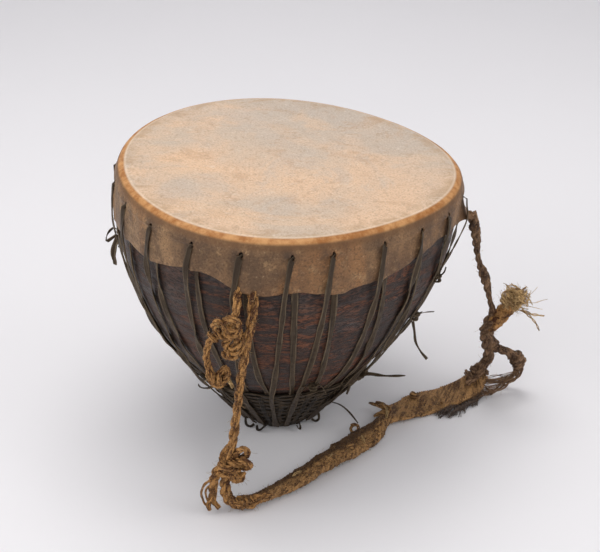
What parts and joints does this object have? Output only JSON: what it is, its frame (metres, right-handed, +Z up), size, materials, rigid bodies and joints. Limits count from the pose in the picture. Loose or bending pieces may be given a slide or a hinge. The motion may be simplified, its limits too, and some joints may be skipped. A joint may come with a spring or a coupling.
{
  "type": "bowl drum",
  "caption": "Hollow wooden bowl drum with a hide head laced by leather thongs to a wound foot ring, and a fibre carrying sling that lies on the ground.",
  "frame": {"origin": "centre of the foot's flat underside, on the surface the drum stands on", "axes": "+Z up along the drum, -Y the side with the left rope and its knot, +X the side where the sling rises to the head"},
  "size_m": [0.5187, 0.4309, 0.3544],
  "materials": {
    "wood": "carved, smoke-dark and slightly polished by handling",
    "hide": "dried rawhide, tan and mottled, dull",
    "wound_strips": "dark rawhide strips wound into a ring, dull and greasy",
    "thong": "dry twisted rawhide thong with paler edges",
    "fibre": "laid and woven plant fibre, dry, with loose ends"
  },
  "bodies": {
    "root": {"bowl": "wood", "drumhead": "hide", "foot_ring": "wound_strips", "lacing_thong_1": "thong", "lacing_thong_2": "thong", "lacing_thong_3": "thong", "lacing_thong_4": "thong", "lacing_thong_5": "thong", "rope_left": "fibre", "rope_left_hanger": "fibre", "rope_left_knot": "fibre", "sling_band": "fibre", "rope_right": "fibre", "rope_right_knot": "fibre", "rope_right_loop": "fibre"}
  },
  "joints": []
}
